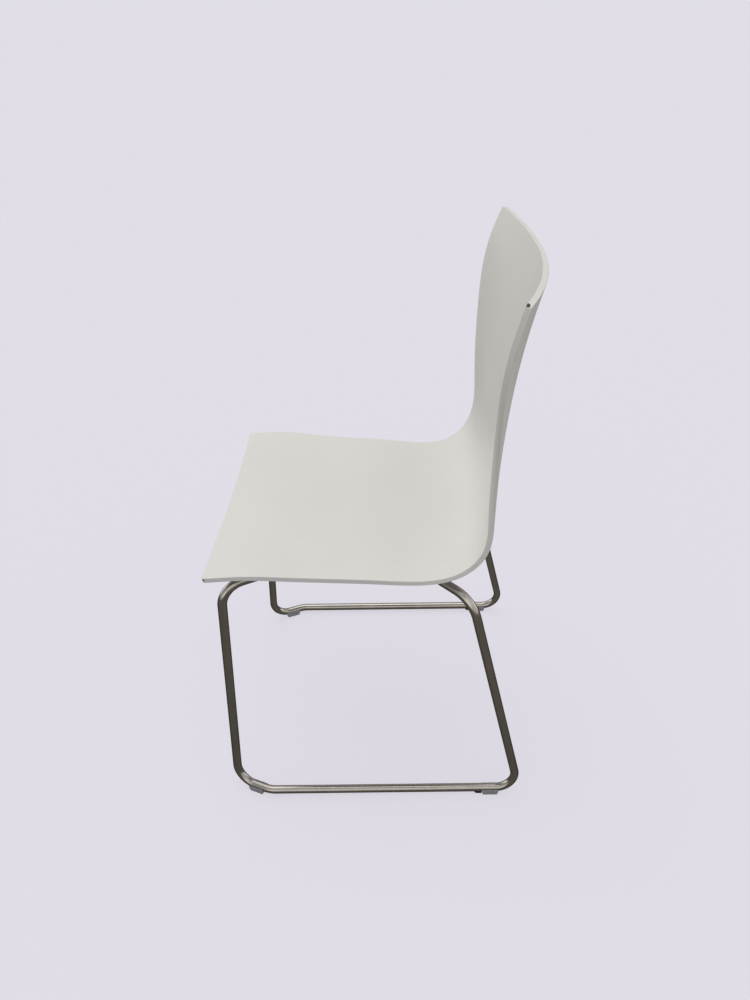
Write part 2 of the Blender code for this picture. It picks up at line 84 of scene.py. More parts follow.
FLOOR_COLOUR = (0.137, 0.133, 0.146, 1.0)
FLOOR_GLOW = 0.820           # share of the backdrop's tone that the floor gives off
FLOOR_BOUNCE = (0.330, 0.325, 0.335, 1.0)       # what it throws back on matt surfaces
FLOOR_REFLECTED = (0.175, 0.160, 0.145, 1.0)    # what shows of it in glossy ones
FLOOR_REACH = 60.0

# ---------------- tones
LACQUER_ROUGHNESS = 0.42
LACQUER = (0.688, 0.671, 0.625, 1.0)
LACQUER_CLOUD = (0.706, 0.687, 0.645, 1.0)
LACQUER_SPECK = (0.658, 0.642, 0.600, 1.0)
# The shell's edge tones hold painted shade and painted light: the seat's edge darker than the
# faces, the back's edge lighter, darker again high up the back, and lighter where the edge faces
# up. The plies' tone is their own.
EDGE_SEAT_SHADED = (0.600, 0.588, 0.562, 1.0)
EDGE_BACK_LIT = (0.705, 0.690, 0.660, 1.0)
EDGE_PAINTED_SHADE = (0.515, 0.500, 0.455, 1.0)
EDGE_PLY = (0.450, 0.435, 0.400, 1.0)
EDGE_PAINTED_TOP_LIGHT = (0.660, 0.644, 0.592, 1.0)
SPOT_DARK = (0.018, 0.015, 0.013, 1.0)
STEEL_GRAZING = (0.03, 0.03, 0.03, 1.0)         # how dark steel goes at a low angle
STEEL_SHARES = (0.35, 0.45, 0.20)               # of lines, broad lines and clouds
# A metal has a dark tone, a light tone and a roughness. Drawn steel also has the waves
# of its lines: on the tube round the section and along, on the bar along x, y and z
TUBE_STEEL = ((0.315, 0.300, 0.268, 1.0), (0.475, 0.445, 0.395, 1.0), 0.20,
              (9.0, 9.0, 14.0))
BAR_STEEL = ((0.340, 0.330, 0.310, 1.0), (0.450, 0.435, 0.410, 1.0), 0.34,
             (30.0, 900.0, 900.0))
ZINC = ((0.50, 0.51, 0.52, 1.0), (0.70, 0.70, 0.69, 1.0), 0.34)
BRASS = ((0.46, 0.33, 0.14, 1.0), (0.62, 0.47, 0.22, 1.0), 0.36)
# A plastic has a dark tone, a light tone, the tone of its dust, and a roughness
BLACK_PLASTIC = ((0.030, 0.030, 0.030, 1.0), (0.045, 0.045, 0.045, 1.0),
                 (0.075, 0.072, 0.068, 1.0), 0.60)
GREY_PLASTIC = ((0.200, 0.205, 0.215, 1.0), (0.250, 0.255, 0.265, 1.0),
                (0.340, 0.340, 0.345, 1.0), 0.55)
RUBBER = ((0.022, 0.022, 0.022, 1.0), (0.035, 0.035, 0.035, 1.0),
          (0.070, 0.067, 0.062, 1.0), 0.62)

# ---------------- the moulded shell
SHELL_THICKNESS = 0.008
# Stations from the front edge to the top of the back:
# y and z on the centre line, half width, and lift of the side edge
SHELL_STATIONS = (
    (-0.2265, 0.4475, 0.2105, -0.0010),
    (-0.1665, 0.4475, 0.2095, 0.0010),
    (-0.1095, 0.4420, 0.2060, 0.0010),
    (0.0205, 0.4320, 0.2025, 0.0010),
    (0.1345, 0.4405, 0.2015, 0.0030),
    (0.1660, 0.4715, 0.2080, 0.0070),
    (0.1865, 0.5575, 0.2250, 0.0170),
    (0.2015, 0.6575, 0.2290, 0.0290),
    (0.2280, 0.7675, 0.2160, 0.0410),
    (0.2440, 0.8210, 0.2005, 0.0380),
)
SHELL_EDGE_POWER = 1.9       # how the lift grows from the middle to the side
SHELL_FRONT_BOW = 0.005      # how far the front corners lie ahead of the middle
SHELL_TOP_BOW = 0.003        # how far the top corners lie below the middle
SHELL_ROWS = 170
SHELL_COLUMNS = 60
SHELL_RIM = 0.0011           # radius where the faces meet the edge
SHELL_RIM_STEPS = 4
SHELL_CORNER = 0.0035        # radius of the four corners in plan
SHELL_CORNER_STEPS = 5
SHELL_EDGE_BANDS = 14        # steps down the edge, enough to carry the plies
PLIES = 7
PLY_HOLLOW = 0.00004         # how far the glue lines lie below the edge
EDGE_TURN = (0.02, 0.14)     # y where its edge goes over from the seat's painted shade to the back's painted light
EDGE_SHADE_HEIGHT = (0.64, 0.78)    # height over which painted shade comes in on the edge
EDGE_SHADE_LEAN = 0.16    # how much lower that starts at the edge's rear
EDGE_TOP_LIGHT_RISE = (0.45, 0.80)     # how far it faces up where it takes painted light on top
# Dark spots on the edge at the sitter's left: the share of the way along it, the move from there,
# and the reach
DARK_CORNER_SPOTS = (
    (1.0, (0.0, 0.0015, 0.0), 0.0060),
    (0.0030, (0.0, 0.0, -0.0030), 0.0034),
)

# ---------------- sled frame
TUBE_RADIUS = 0.007
TUBE_SIDES = 40
BEND_STEP = math.radians(3)
RUNNER_HEIGHT = 0.0101
# Corners of the left loop's centre line, before bending: x, y and, off the runner, z
RUNNER_REAR = (0.2389, 0.2341)
RUNNER_TOE = (0.2391, -0.1872)
RUNNER_FRONT = (0.2139, -0.2457)
TOP_FRONT = (0.1975, -0.2105, 0.4196)
TOP_REAR = (0.2091, 0.1519, 0.3991)
TOP_RUN_X = 0.120
TOP_RUN_FRONT_Y = -0.084
TOP_RUN_REAR_Y = 0.059
BOTTOM_BEND = 0.0329         # keeps the round bend inside the faceted one's box
TOE_BEND = 0.048
FRONT_TOP_BEND = 0.034
REAR_TOP_BEND = 0.041
TOP_RUN_BEND = 0.050
SEAM_HALF_LENGTH = 0.0016
SEAM_HEIGHT = 0.00025        # of the butt weld, above the tube
SEAM_SINK = 0.0002           # how far its ends lie below the tube's surface
SEAM_STEPS = 10
GAP = 0.0003                 # between pieces that touch
SLIVER = 0.000003            # points of a cut piece that lie closer than this are one

# ---------------- cross plates
PLATE_LENGTH = 0.262
PLATE_WIDTH = 0.030
PLATE_THICKNESS = 0.004
PLATE_CORNER = 0.006
PLATE_CORNER_STEPS = 10
PLATE_EDGE = 0.0006
PLATE_HOLE_RADIUS = 0.0034
SCREW_X = 0.088
WELD_RADIUS = 0.0019
WELD_LENGTH = 0.026
WELD_RIPPLE = 0.0020         # length of one ripple
WELD_OFFSET = 0.0056         # from the tube's centre line, sideways
WELD_DROP = 0.0016           # below the plate
WELD_TAPER = 6.0             # how fast a bead fills out from its ends
WELD_TIP = 0.25              # share of the radius at its ends
WELD_RIPPLE_DEPTH = 0.12
WELD_STEPS = 52
WELD_SIDES = 16

# ---------------- small hardware
FIXINGS = (1, 2, 3, 4)
ROUND_SIDES = 64
EDGE_EASE = 0.3              # share of a ring's softened edge that the corner gives up
SCREW_RADIUS = 0.0028
SCREW_CHAMFER = 0.0005
SCREW_HEAD_RADIUS = 0.0055
SCREW_HEAD_HEIGHT = 0.0033
SCREW_HEAD_EDGE = 0.0002
SCREW_HEAD_SIDE = 0.0008     # from the washer down to the dome
SCREW_DOME_REACH = 0.0027    # from the head's side in to its flat end
SCREW_DOME_TURN = math.radians(62)
SCREW_DOME_STEPS = 8
SOCKET_RADIUS = 0.0022
SOCKET_DEPTH = 0.0018
SOCKET_SIDES = 6
WASHER_RADIUS = 0.0075
WASHER_HOLE_RADIUS = 0.0032
WASHER_THICKNESS = 0.0014
WASHER_EDGE = 0.0003
SPACER_RADIUS = 0.012
SPACER_HOLE_RADIUS = 0.0034
SPACER_EDGE = 0.0008
INSERT_RADIUS = 0.0048
INSERT_POCKET_DEPTH = 0.0056
PIN_RADIUS = 0.0020
PIN_CHAMFER = 0.0003
PIN_HEAD_RADIUS = 0.0032
PIN_HEAD_HEIGHT = 0.0012
# The round of a pin's head: share of its radius, and height above its end
PIN_HEAD_ROUND = ((1.0, 0.0006), (0.86, 0.0002), (0.5, 0.0), (0.0, 0.0))
PIN_RECESS_DEPTH = 0.0018
PIN_LENGTH = 0.0100
PIN_SIDES = 32
DRILL_SIDES = 24

# ---------------- glides and buffers
GLIDE_LENGTH = 0.0275
GLIDE_WIDTH = 0.0170
GLIDE_HEIGHT = 0.0115
GLIDE_SLOPE = 0.0022         # both ends slope in towards the floor
GLIDE_SLOPE_HEIGHT = 0.0060
GLIDE_FOOT_ROUND = 0.0011
GLIDE_ROUND = 0.0004
STOP_LENGTH = 0.013
STOP_WIDTH = 0.012
STOP_SLOPE = 0.0035
STOP_CLEARANCE = 0.0012
STOP_ROUND = 0.0007
BUFFER_LENGTH = 0.030
BUFFER_WALL = 0.0025
BUFFER_OPENING = math.radians(150)
BUFFER_FRONT_SHARE = 0.70
BUFFER_REAR_SHARE = 0.72
BUFFER_REST_WIDTH = 0.011
BUFFER_REST_DROP = 0.0030
BUFFER_ARC_STEPS = 18
BUFFER_ROUND = 0.0005

SIDES = {"left": 1.0, "right": -1.0}
ENDS = ("front", "rear")
SMOOTH_ANGLE = math.radians(32)
BEVEL_STEPS = 3


# ---------------- mesh helpers
def make_object(name, bm):
    """Put a bmesh in the scene as an object, and free it."""
    mesh = bpy.data.meshes.new(name)
    bm.to_mesh(mesh)
    bm.free()
    item = bpy.data.objects.new(name, mesh)
    bpy.context.scene.collection.objects.link(item)
    return item


def carve(item, cutters):
    """Cut other objects out of a piece, and remove them."""
    bpy.context.view_layer.update()
    for cutter in cutters:
        cut = item.modifiers.new("Cut", "BOOLEAN")
        cut.operation = "DIFFERENCE"
        cut.solver = "EXACT"
        cut.object = cutter
    depsgraph = bpy.context.evaluated_depsgraph_get()
    mesh = bpy.data.meshes.new_from_object(item.evaluated_get(depsgraph))
    item.modifiers.clear()
    bm = bmesh.new()
    bm.from_mesh(mesh)
    bmesh.ops.remove_doubles(bm, verts=bm.verts, dist=SLIVER)
    bm.to_mesh(mesh)
    bm.free()
    item.data = mesh
    for cutter in cutters:
        bpy.data.objects.remove(cutter, do_unlink=True)


def finish_piece(item, material, slot, *nodes):
    """Give a piece its finish and body, and hide the CAD nodes that it stands for."""
    item.data.materials.clear()
    item.data.materials.append(material)
    item.data.shade_smooth()
    item.data.set_sharp_from_angle(angle=SMOOTH_ANGLE)
    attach(item, "root")
    if nodes:
        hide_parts(*nodes)


def lathe(name, profile, sides=ROUND_SIDES, closed=False):
    """Solid of revolution about Z, from a profile of radii and heights.

    An open profile runs down its outer side, from axis to axis. A closed one goes
    round the section of a ring.
    """
    bm = bmesh.new()
    turns = [2 * math.pi * index / sides for index in range(sides)]
    rings = []
    for radius, height in profile:
        rings.append([bm.verts.new((radius * math.cos(turn), radius * math.sin(turn), height))
                      for turn in (turns if radius else turns[:1])])
    below = rings[1:] + rings[:1] if closed else rings[1:]
    for upper, lower in zip(rings, below):
        for index in range(sides):
            after = (index + 1) % sides
            corners = [upper[index % len(upper)], lower[index % len(lower)],
                       lower[after % len(lower)], upper[after % len(upper)]]
            bm.faces.new(list(dict.fromkeys(corners)))
    bmesh.ops.recalc_face_normals(bm, faces=bm.faces)
    return make_object(name, bm)


def cylinder(name, radius, bottom, top, sides=ROUND_SIDES):
    """Plain cylinder about Z."""
    return lathe(name, ((0.0, top), (radius, top), (radius, bottom), (0.0, bottom)), sides)


def ring(name, outer, inner, bottom, top, edge):
    """Flat ring about Z with its outer edges softened."""
    ease = EDGE_EASE * edge
    return lathe(name, ((outer - edge, top), (outer - ease, top - ease), (outer, top - edge),
                        (outer, bottom + edge), (outer - ease, bottom + ease),
                        (outer - edge, bottom), (inner, bottom), (inner, top)), closed=True)


def extrude(outline, way):
    """Solid made by pushing a flat outline along a way."""
    bm = bmesh.new()
    face = bm.faces.new([bm.verts.new(point) for point in outline])
    pushed = bmesh.ops.extrude_face_region(bm, geom=[face])
    moved = [part for part in pushed["geom"] if isinstance(part, bmesh.types.BMVert)]
    bmesh.ops.translate(bm, verts=moved, vec=way)
    bmesh.ops.recalc_face_normals(bm, faces=bm.faces)
    return bm


def bevel_sharp(bm, size, below=math.inf):
    """Round the sharp edges that lie below a height."""
    edges = [edge for edge in bm.edges
             if edge.calc_face_angle() > SMOOTH_ANGLE
             and all(vert.co.z < below for vert in edge.verts)]
    bmesh.ops.bevel(bm, geom=edges, offset=size, segments=BEVEL_STEPS, affect="EDGES",
                    profile=0.5)


def prism(name, outline, width, rounding, foot_rounding=None):
    """Solid with an outline in y and z and a width along x, with rounded edges."""
    bm = extrude([(-width / 2, y, z) for y, z in outline], (width, 0.0, 0.0))
    if foot_rounding:
        bevel_sharp(bm, foot_rounding, min(z for _, z in outline) + GAP)
    bevel_sharp(bm, rounding)
    return make_object(name, bm)


def arc(radius, start, end, steps):
    """Points on an arc about the origin, from one angle to another."""
    return [(radius * math.cos(angle), radius * math.sin(angle))
            for angle in np.linspace(start, end, steps + 1)]


def box_centre(node):
    """Middle of a CAD node's box."""
    low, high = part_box(node)
    return (low + high) / 2


# ---------------- nodes
class Nodes:
    """A node tree, with the few kinds of node that this script uses."""

    def __init__(self, tree):
        self.tree = tree

    def add(self, kind, **settings):
        """A new node with its settings."""
        node = self.tree.nodes.new("ShaderNode" + kind)
        for name, value in settings.items():
            setattr(node, name, value)
        return node

    def put(self, socket, value):
        """Set a socket to a number, a colour or another node's output."""
        if isinstance(value, bpy.types.NodeSocket):
            self.tree.links.new(value, socket)
        else:
            socket.default_value = value

    def fill(self, node, *values):
        """Set a node's first sockets, and give its output."""
        for socket, value in zip(node.inputs, values):
            self.put(socket, value)
        return node.outputs[0]

    def calculate(self, operation, first, second=0.0):
        """One operation on two numbers."""
        return self.fill(self.add("Math", operation=operation), first, second)

    def measure(self, operation, first, second):
        """A number that two vectors give."""
        node = self.add("VectorMath", operation=operation)
        self.fill(node, first, second)
        return node.outputs["Value"]

    def remap(self, value, low, high, to_low=0.0, to_high=1.0, easing="LINEAR"):
        """A number moved from one range to another, and held inside it."""
        node = self.add("MapRange", interpolation_type=easing)
        return self.fill(node, value, low, high, to_low, to_high)

    def choose(self, share, first, second):
        """A shader between two."""
        return self.fill(self.add("MixShader"), share, first, second)


class Finish(Nodes):
    """A node material. Its noises have their scale in waves per metre."""

    def __init__(self, name, metallic=0.0, roughness=0.5, specular=0.5):
        self.material = bpy.data.materials.new(name)
        self.material.use_nodes = True
        super().__init__(self.material.node_tree)
        self.shader = self.tree.nodes["Principled BSDF"]
        self.shader.inputs["Metallic"].default_value = metallic
        self.shader.inputs["Roughness"].default_value = roughness
        self.roughness = roughness
        self.shader.inputs["Specular IOR Level"].default_value = specular
        space = self.add("TexCoord")
        self.place = space.outputs["Object"]
        self.facing = space.outputs["Normal"]

    def attribute(self, name, output):
        """A value stored on the mesh."""
        return self.add("Attribute", attribute_name=name).outputs[output]

    def part(self, vector, axis):
        """The part of a vector along one axis."""
        node = self.add("SeparateXYZ")
        self.fill(node, vector)
        return node.outputs[axis]

    def stretched(self, vector, scale):
        """Coordinates scaled along each axis."""
        node = self.add("Mapping")
        node.inputs["Scale"].default_value = scale
        return self.fill(node, vector)

    def noise(self, scale, detail=2.0, vector=None, rough=0.5):
        """Soft noise between 0 and 1."""
        node = self.add("TexNoise")
        self.put(node.inputs["Vector"], self.place if vector is None else vector)
        node.inputs["Scale"].default_value = scale
        node.inputs["Detail"].default_value = detail
        node.inputs["Roughness"].default_value = rough
        return node.outputs["Fac"]

    def mix(self, share, first, second):
        """A colour between two."""
        node = self.add("Mix", data_type="RGBA")
        self.put(node.inputs["Factor"], share)
        colours = [socket for socket in node.inputs if socket.type == "RGBA"]
        self.put(colours[0], first)
        self.put(colours[1], second)
        return next(socket for socket in node.outputs if socket.type == "RGBA")

    def near(self, point, reach):
        """1 at a point, falling to 0 at a distance."""
        return self.remap(self.measure("DISTANCE", self.place, point), 0.0, reach, 1.0, 0.0)

    def gloss(self, pattern, less, more):
        """Roughness that a pattern moves round the material's own."""
        return self.remap(pattern, 0.3, 0.7, self.roughness - less, self.roughness + more)

    def bump(self, height, distance, strength=1.0, under=None):
        """A normal shaped by a height in metres, over another normal if given."""
        node = self.add("Bump")
        node.inputs["Strength"].default_value = strength
        node.inputs["Distance"].default_value = distance
        self.put(node.inputs["Height"], height)
        if under is not None:
            self.put(node.inputs["Normal"], under)
        return node.outputs["Normal"]

    def done(self, colour, roughness=None, normal=None):
        """Connect the results to the shader, and give the material."""
        for name, value in (("Base Color", colour), ("Roughness", roughness),
                            ("Normal", normal)):
            if value is not None:
                self.put(self.shader.inputs[name], value)
        return self.material


# ---------------- materials
def edge_plies_and_painted_light(finish):
    """Tone of the shell's edge, with painted shade and painted light in it: darker than its faces
    along the seat, lighter along the back, darker again high up the back and lighter where it
    faces up. The plies just show.
    """
    depth = finish.attribute("edge_depth", "Fac")
    grain = finish.noise(1.0, 3.0, finish.stretched(finish.place, (60.0, 60.0, 700.0)))
    wave = finish.calculate("SINE", finish.calculate("MULTIPLY", depth, 2 * math.pi * PLIES))
    plies = finish.remap(finish.calculate("ADD", wave, grain), -0.5, 1.5, 0.0, 0.3)
    # Painted shade along the seat's edge turns to painted light along the back's
    turned = finish.remap(finish.part(finish.place, "Y"), *EDGE_TURN)
    tone = finish.mix(turned, EDGE_SEAT_SHADED, EDGE_BACK_LIT)
    # Painted shade high up the back's edge
    height = finish.calculate("ADD", finish.part(finish.place, "Z"),
                              finish.calculate("MULTIPLY", depth, EDGE_SHADE_LEAN))
    tone = finish.mix(finish.remap(height, *EDGE_SHADE_HEIGHT), tone, EDGE_PAINTED_SHADE)
    tone = finish.mix(plies, tone, EDGE_PLY)
    # Painted light where the edge faces up
    top_light = finish.remap(finish.part(finish.facing, "Z"), *EDGE_TOP_LIGHT_RISE)
    return finish.mix(top_light, tone, EDGE_PAINTED_TOP_LIGHT)


def shell_lacquer(dark_spots):
    """Satin off-white lacquer on plywood, with painted shade and painted light on its edge, and
    dark spots at two corners.
    """
    finish = Finish("shell_lacquer", roughness=LACQUER_ROUGHNESS)
    clouds = finish.noise(7.0, 3.0)
    tone = finish.mix(finish.remap(clouds, 0.35, 0.65), LACQUER, LACQUER_CLOUD)
    specks = finish.noise(330.0, 2.0)
    tone = finish.mix(finish.remap(specks, 0.55, 0.80, 0.0, 0.35), tone, LACQUER_SPECK)
    tone = finish.mix(finish.attribute("edge_share", "Fac"), tone, edge_plies_and_painted_light(finish))
    ragged = finish.calculate("MULTIPLY", finish.noise(900.0, 2.0), 0.35)
    darkened = 0.0
    for point, reach in dark_spots:
        near = finish.calculate("ADD", finish.near(point, reach), ragged)
        darkened = finish.calculate("MAXIMUM", darkened, finish.remap(near, 0.50, 0.62))
    tone = finish.mix(darkened, tone, SPOT_DARK)
    scuffs = finish.noise(1.0, 4.0, finish.stretched(finish.place, (25.0, 260.0, 25.0)), 0.6)
    sway = finish.bump(finish.noise(26.0, 2.0), 0.0006, 0.25)
    peel = finish.bump(finish.noise(520.0, 1.0), 0.00005, 0.5, sway)
    return finish.done(tone, finish.gloss(scuffs, 0.04, 0.05), peel)


def drawn_steel(name, dark, light, rough, stretch, attribute=None):
    """Satin steel with fine lines along its length."""
    finish = Finish(name, metallic=1.0, roughness=rough)
    finish.shader.inputs["Specular Tint"].default_value = STEEL_GRAZING
    space = finish.attribute(attribute, "Vector") if attribute else finish.place
    lines = finish.noise(1.0, 3.0, finish.stretched(space, stretch), 0.65)
    broad = finish.noise(0.2, 2.0, finish.stretched(space, stretch))
    clouds = finish.noise(38.0, 3.0)
    share = 0.0
    for pattern, weight in zip((lines, broad, clouds), STEEL_SHARES):
        share = finish.calculate("ADD", share, finish.calculate("MULTIPLY", pattern, weight))
    tone = finish.mix(finish.remap(share, 0.35, 0.65), dark, light)
    gloss = finish.gloss(lines, 0.05, 0.06)
    return finish.done(tone, gloss, finish.bump(lines, 0.00003, 0.35))


def zinc_plate(dark, light, rough):
    """Bright zinc with its faint cloudy crystals."""
    finish = Finish("zinc_steel", metallic=1.0, roughness=rough)
    clouds = finish.noise(420.0, 3.0)
    tone = finish.mix(clouds, dark, light)
    gloss = finish.gloss(clouds, 0.06, 0.08)
    return finish.done(tone, gloss, finish.bump(finish.noise(1500.0, 1.0), 0.00002, 0.4))


def turned_brass(dark, light, rough):
    """Brass with fine turning marks."""
    finish = Finish("insert_brass", metallic=1.0, roughness=rough)
    marks = finish.noise(1.0, 2.0, finish.stretched(finish.place, (80.0, 80.0, 5200.0)))
    tone = finish.mix(marks, dark, light)
    gloss = finish.gloss(marks, 0.06, 0.08)
    return finish.done(tone, gloss, finish.bump(marks, 0.00003, 0.5))


def moulded_plastic(name, dark, light, dust, rough):
    """Matt moulded plastic or rubber, a little dusty and scuffed."""
    finish = Finish(name, roughness=rough)
    clouds = finish.noise(130.0, 4.0, rough=0.6)
    tone = finish.mix(finish.remap(clouds, 0.35, 0.65), dark, light)
    scuffs = finish.noise(1.0, 4.0, finish.stretched(finish.place, (900.0, 120.0, 900.0)), 0.6)
    tone = finish.mix(finish.remap(scuffs, 0.58, 0.75, 0.0, 0.6), tone, dust)
    gloss = finish.gloss(scuffs, 0.08, 0.1)
    return finish.done(tone, gloss, finish.bump(finish.noise(2600.0, 2.0), 0.00004, 0.6))


# ---------------- shell's form
def natural_spline(knots, values, at):
    """Natural cubic spline through values at the knots, read at the points asked."""
    count = len(knots)
    steps = np.diff(knots)
    system = np.eye(count)
    right = np.zeros(count)
    for row in range(1, count - 1):
        system[row, row - 1:row + 2] = (steps[row - 1],
                                        2 * (steps[row - 1] + steps[row]), steps[row])
        right[row] = 6 * ((values[row + 1] - values[row]) / steps[row]
                          - (values[row] - values[row - 1]) / steps[row - 1])
    bend = np.linalg.solve(system, right)
    place = np.clip(np.searchsorted(knots, at, side="right") - 1, 0, count - 2)
    width = steps[place]
    after = (knots[place + 1] - at) / width
    before = (at - knots[place]) / width
    curve = after * values[place] + before * values[place + 1]
    swell = (after ** 3 - after) * bend[place] + (before ** 3 - before) * bend[place + 1]
    return curve + swell * width ** 2 / 6


class ShellForm:
    """The upper face of the shell as a function of two shares.

    across runs from -1 to 1 over the width, along runs from 0 at the front
    edge to 1 at the top of the back.
    """

    def __init__(self, stations):
        self.y, self.z, self.half, self.lift = np.array(stations).T
        chords = np.hypot(np.diff(self.y), np.diff(self.z))
        self.length = chords.sum()
        self.knots = np.concatenate(([0.0], np.cumsum(chords))) / self.length

    def centre(self, along):
        """Points on the centre line as y and z."""
        return (natural_spline(self.knots, self.y, along),
                natural_spline(self.knots, self.z, along))

    def half_width(self, along):
        """Half the width, from the centre plane to the edge."""
        return natural_spline(self.knots, self.half, along)

    def point(self, across, along):
        """Points on the upper face."""
        forward = SHELL_FRONT_BOW / self.length * across ** 2 * (1 - along) ** 3
        lower = SHELL_TOP_BOW / self.length * across ** 2 * along ** 3
        along = along - forward - lower
        y, z = self.centre(along)
        step = 0.0005
        before_y, before_z = self.centre(along - step)
        after_y, after_z = self.centre(along + step)
        run, rise = after_y - before_y, after_z - before_z
        size = np.hypot(run, rise)
        raised = natural_spline(self.knots, self.lift, along) * abs(across) ** SHELL_EDGE_POWER
        return np.stack((self.half_width(along) * across, y - rise / size * raised,
                         z + run / size * raised), axis=-1)

    def normal(self, across, along):
        """Unit normals of the upper face, towards the sitter."""
        step = 0.001
        over = self.point(across + step, along) - self.point(across - step, along)
        up = self.point(across, along + step) - self.point(across, along - step)
        normal = np.cross(over, up)
        return normal / np.linalg.norm(normal, axis=-1, keepdims=True)


def graded(count, fine_width, fine_steps):
    """Shares from 0 to 1, finer at both ends."""
    end = np.linspace(0.0, fine_width, fine_steps + 1)
    middle = np.linspace(fine_width, 1.0 - fine_width, count + 1)[1:-1]
    return np.concatenate((end, middle, 1.0 - end[::-1]))


def corner_rounded(over, up, width, length):
    """Move points near the corners of a width x length sheet onto round corners."""
    radius = SHELL_CORNER
    side = np.minimum(over, width - over)
    end = np.minimum(up, length - up)
    x = np.minimum(side - radius, 0.0)
    y = np.minimum(end - radius, 0.0)
    inside = (x < 0.0) & (y < 0.0)
    reach = np.maximum(abs(x), abs(y))
    distance = np.where(inside, np.hypot(x, y), 1.0)
    pull = np.where(inside, reach / distance, 1.0)
    shift_x = x * pull - x
    shift_y = y * pull - y
    return (over + np.where(over < width / 2, shift_x, -shift_x),
            up + np.where(up < length / 2, shift_y, -shift_y))


def shell_shares(form):
    """Grid of shares over the upper face, kept one rim radius inside its outline."""
    rows = graded(SHELL_ROWS, SHELL_CORNER / form.length, SHELL_CORNER_STEPS)
    columns = graded(SHELL_COLUMNS, SHELL_CORNER / (2 * form.half[0]), SHELL_CORNER_STEPS)
    columns, rows = np.meshgrid(columns, rows)
    width = 2 * (form.half_width(rows) - SHELL_RIM)
    length = form.length - 2 * SHELL_RIM
    over, up = corner_rounded(columns * width, rows * length, width, length)
    along = (up + SHELL_RIM) / form.length
    across = (over - width / 2) / form.half_width(along)
    return across, along


def outline_order(rows, columns):
    """Grid places round the outline, counter-clockwise from the front right corner."""
    front = [(0, column) for column in range(columns - 1)]
    left = [(row, columns - 1) for row in range(rows - 1)]
    top = [(rows - 1, column) for column in range(columns - 1, 0, -1)]
    right = [(row, 0) for row in range(rows - 1, 0, -1)]
    return front + left + top + right


def rim_rings():
    """Rings round the edge: how far out, how deep, and the share of the thickness."""
    turns = [index / SHELL_RIM_STEPS * math.pi / 2 for index in range(1, SHELL_RIM_STEPS + 1)]
    upper = [(SHELL_RIM * math.sin(turn), SHELL_RIM * (1 - math.cos(turn))) for turn in turns]
    straight = SHELL_THICKNESS - 2 * SHELL_RIM
    bands = [(SHELL_RIM, SHELL_RIM + straight * index / SHELL_EDGE_BANDS)
             for index in range(1, SHELL_EDGE_BANDS)]
    lower = [(out, SHELL_THICKNESS - depth) for out, depth in reversed(upper)]
    rings = []
    for out, depth in upper + bands + lower:
        share = depth / SHELL_THICKNESS
        hollow = PLY_HOLLOW * max(0.0, math.sin(2 * math.pi * PLIES * share))
        rings.append((out - (hollow if out == SHELL_RIM else 0.0), depth, share))
    return rings


def build_shell_body(form):
    """The closed shell: upper face, rounded rim, edge with its plies, and lower face."""
    across, along = shell_shares(form)
    upper = form.point(across, along)
    normals = form.normal(across, along)
    lower = upper - normals * SHELL_THICKNESS
    rows, columns = across.shape
    bm = bmesh.new()
    depth_layer = bm.verts.layers.float.new("edge_depth")
    edge_layer = bm.verts.layers.float.new("edge_share")

    def add(point, depth, on_edge):
        vertex = bm.verts.new(point)
        vertex[depth_layer] = depth
        vertex[edge_layer] = on_edge
        return vertex

    top = [[add(point, 0.0, 0.0) for point in line] for line in upper]
    base = [[add(point, 1.0, 0.0) for point in line] for line in lower]
    for row in range(rows - 1):
        for column in range(columns - 1):
            bm.faces.new((top[row][column], top[row][column + 1],
                          top[row + 1][column + 1], top[row + 1][column]))
            bm.faces.new((base[row][column], base[row + 1][column],
                          base[row + 1][column + 1], base[row][column + 1]))
    order = outline_order(rows, columns)
    points = np.array([upper[place] for place in order])
    ways = np.array([normals[place] for place in order])
    along_edge = np.roll(points, -1, axis=0) - np.roll(points, 1, axis=0)
    out = np.cross(along_edge, ways)
    out /= np.linalg.norm(out, axis=1, keepdims=True)
    loops = [[top[row][column] for row, column in order]]
    for away, depth, share in rim_rings():
        places = points + out * away - ways * depth
        loops.append([add(place, share, 1.0) for place in places])
    loops.append([base[row][column] for row, column in order])
    for above, below in zip(loops, loops[1:]):
        for index in range(len(order)):
            after = (index + 1) % len(order)
            bm.faces.new((above[index], below[index], below[after], above[after]))
    return make_object("shell", bm)


def build_shell():
    """The shell, pocketed for its inserts."""
    form = ShellForm(SHELL_STATIONS)
    shell = build_shell_body(form)
    pockets = []
    for number in FIXINGS:
        pocket = cylinder(f"pocket_{number}", INSERT_RADIUS + GAP, -SHELL_THICKNESS,
                          INSERT_POCKET_DEPTH)
        spot = box_centre(f"insert_{number}")
        spot.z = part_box(f"insert_{number}")[0].z
        pocket.matrix_world = axis_place(spot)
        pockets.append(pocket)
    carve(shell, pockets)
    dark_spots = [(tuple(form.point(1.0, along) + move), reach) for along, move, reach in DARK_CORNER_SPOTS]
    finish_piece(shell, shell_lacquer(dark_spots), "shell_lacquer", "seat_shell")


# ---------------- side tube
def top_plane_height(y):
    """Height of the tube's centre line in the sloping top run."""
    share = (y - TOP_FRONT[1]) / (TOP_REAR[1] - TOP_FRONT[1])
    return TOP_FRONT[2] + share * (TOP_REAR[2] - TOP_FRONT[2])


def plate_tilt():
    """Slope of the top run, which the plates and screws follow."""
    return math.atan2(TOP_REAR[2] - TOP_FRONT[2], TOP_REAR[1] - TOP_FRONT[1])


def axis_place(point):
    """Matrix that stands a piece on a screw axis."""
    return Matrix.Translation(point) @ Matrix.Rotation(plate_tilt(), 4, "X")


